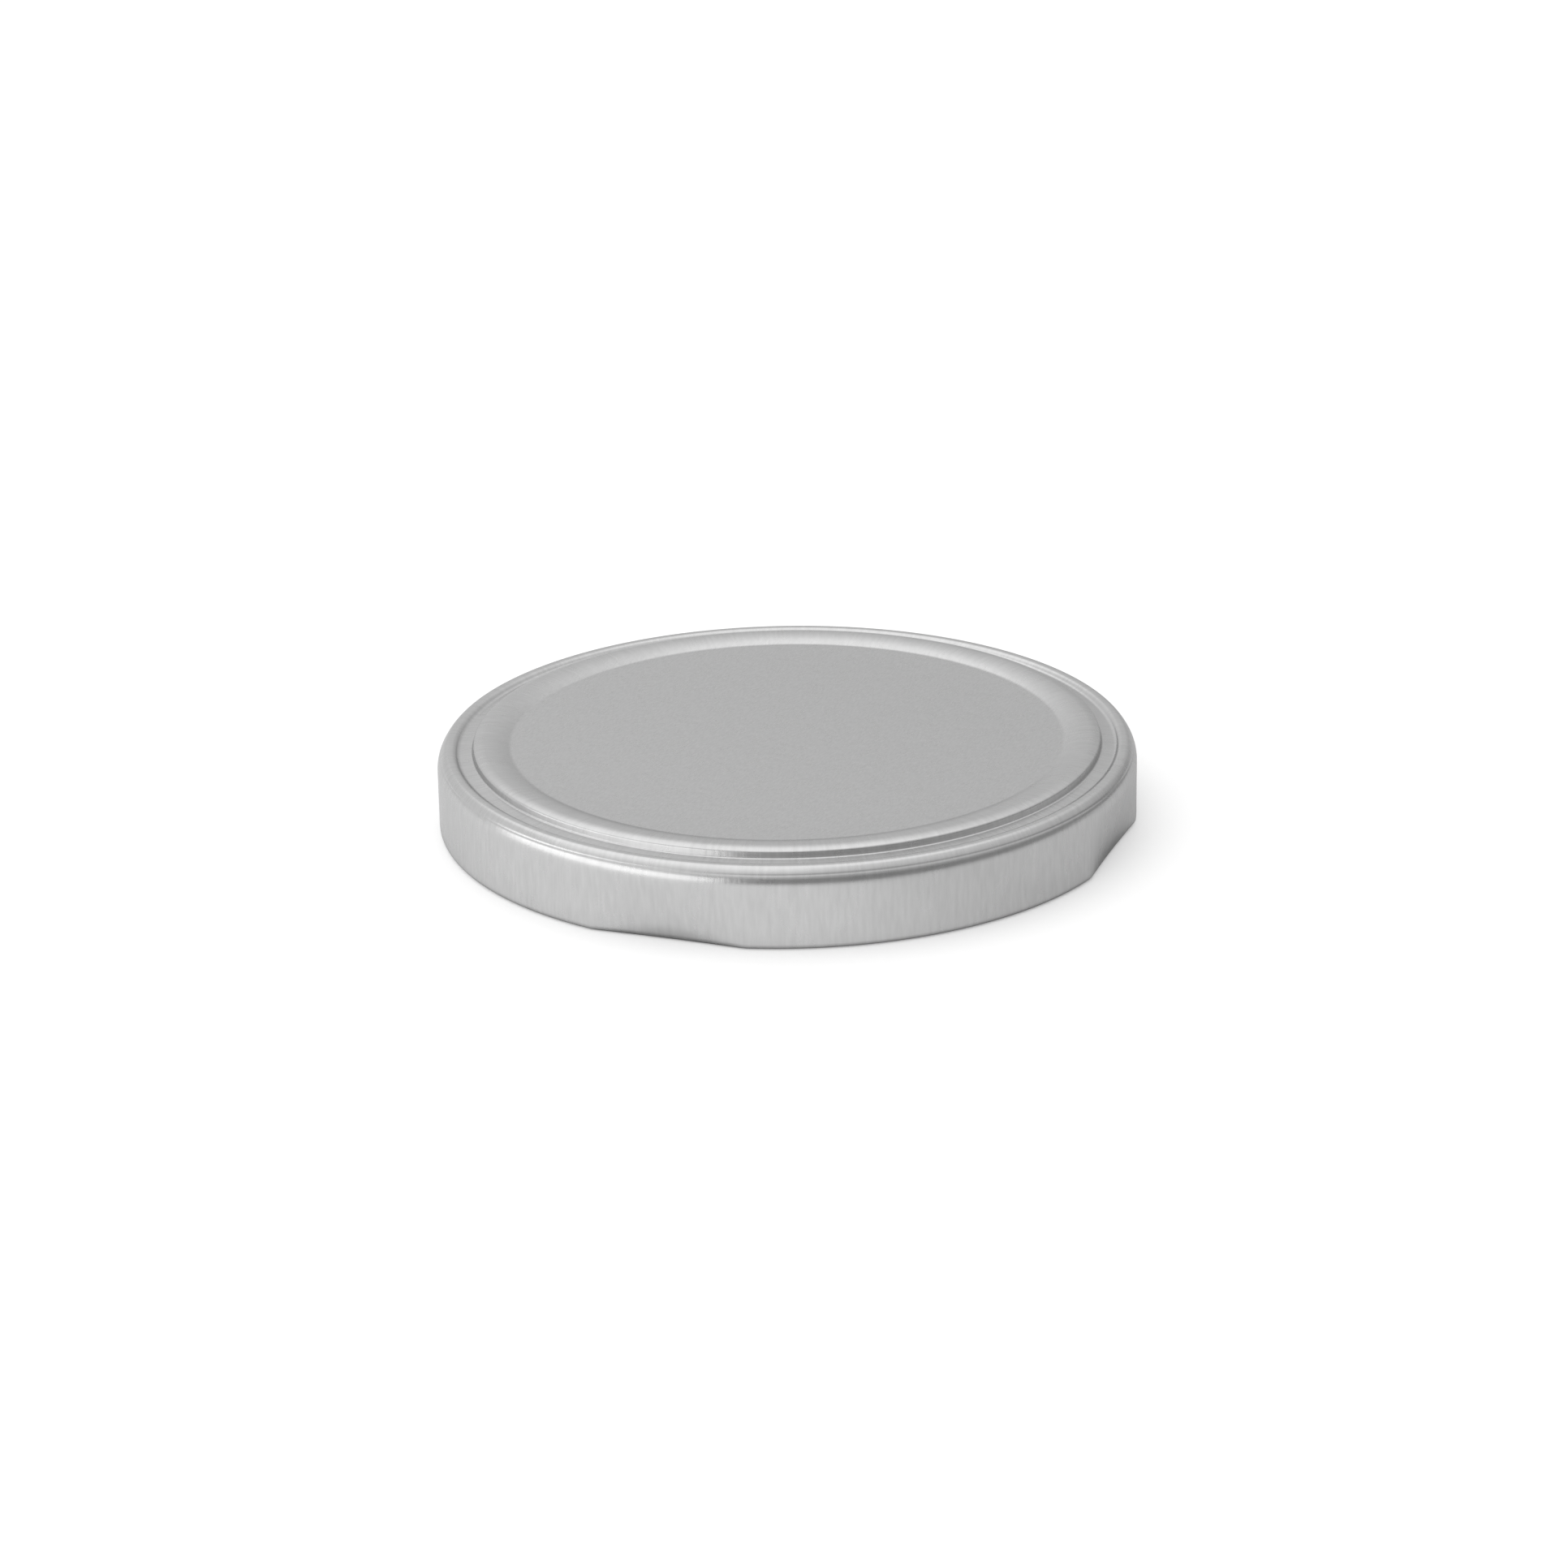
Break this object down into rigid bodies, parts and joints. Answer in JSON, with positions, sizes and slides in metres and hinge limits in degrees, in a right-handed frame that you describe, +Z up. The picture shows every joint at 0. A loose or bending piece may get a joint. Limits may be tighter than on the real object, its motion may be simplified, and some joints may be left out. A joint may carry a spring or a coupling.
{
  "type": "twist off jar lid",
  "caption": "Shallow round tinplate cap for a jar, with a flat panel, raised ring, channel, rounded rim and a rolled skirt edge pushed in to form lugs that grip the jar's thread.",
  "frame": {"origin": "centre of the circle that the rolled lower edge rests on", "axes": "+Z up along the lid's axis, out of the flat panel; -Y towards the front"},
  "size_m": [0.0854, 0.0854, 0.0108],
  "materials": {
    "tinplate": "satin, clear lacquered",
    "sealing_compound": "smooth, soft"
  },
  "bodies": {
    "root": {"lid_shell": "tinplate", "sealing_ring": "sealing_compound"}
  },
  "joints": []
}
